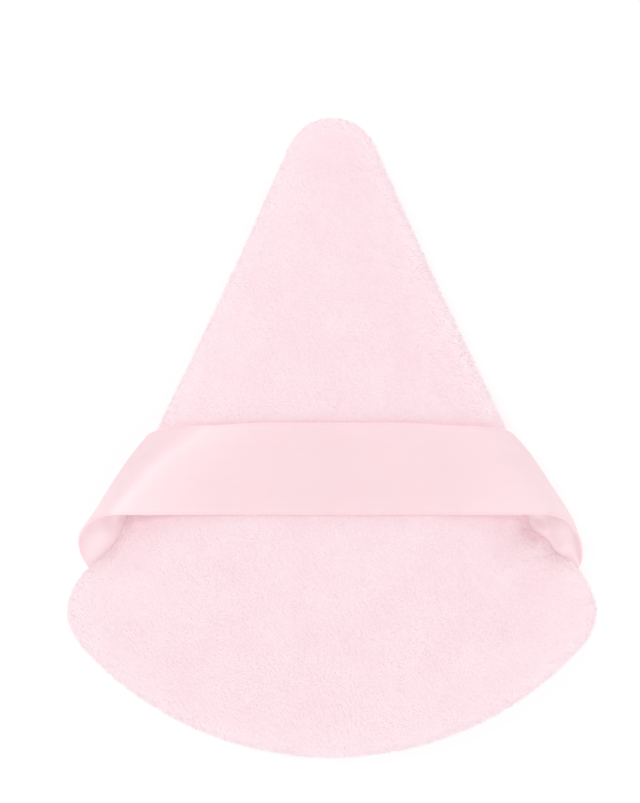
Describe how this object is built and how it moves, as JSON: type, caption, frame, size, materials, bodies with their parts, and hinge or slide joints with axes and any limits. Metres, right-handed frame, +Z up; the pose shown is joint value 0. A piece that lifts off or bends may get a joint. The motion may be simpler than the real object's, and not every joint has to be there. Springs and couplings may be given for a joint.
{
  "type": "powder puff",
  "caption": "Fan-shaped velour powder puff with a foam core and a satin finger ribbon that lifts off its face.",
  "frame": {"origin": "under the middle of the outline's box, on the surface that the puff rests on", "axes": "+Z up out of the face with the ribbon, +Y towards the round tip, +X along the ribbon"},
  "size_m": [0.0662, 0.08, 0.0118],
  "materials": {
    "velour": "short-pile velour, matt with a soft sheen",
    "satin": "satin weave, glossy along the turns",
    "sponge": "open-cell foam, matt",
    "thread": "spun polyester sewing thread"
  },
  "bodies": {
    "pad": {"front_panel": "velour", "back_panel": "velour", "sponge_core": "sponge", "needle_thread": "thread", "bobbin_thread": "thread", "closing_stitch": "thread", "ribbon_right_end": "satin", "ribbon_left_end": "satin"},
    "strap": {"ribbon_band": "satin"}
  },
  "joints": [
    {"name": "strap_lift", "type": "slide", "parent": "pad", "child": "strap", "axis": [0, 0, 1], "range_m": [0, 0.01]}
  ]
}
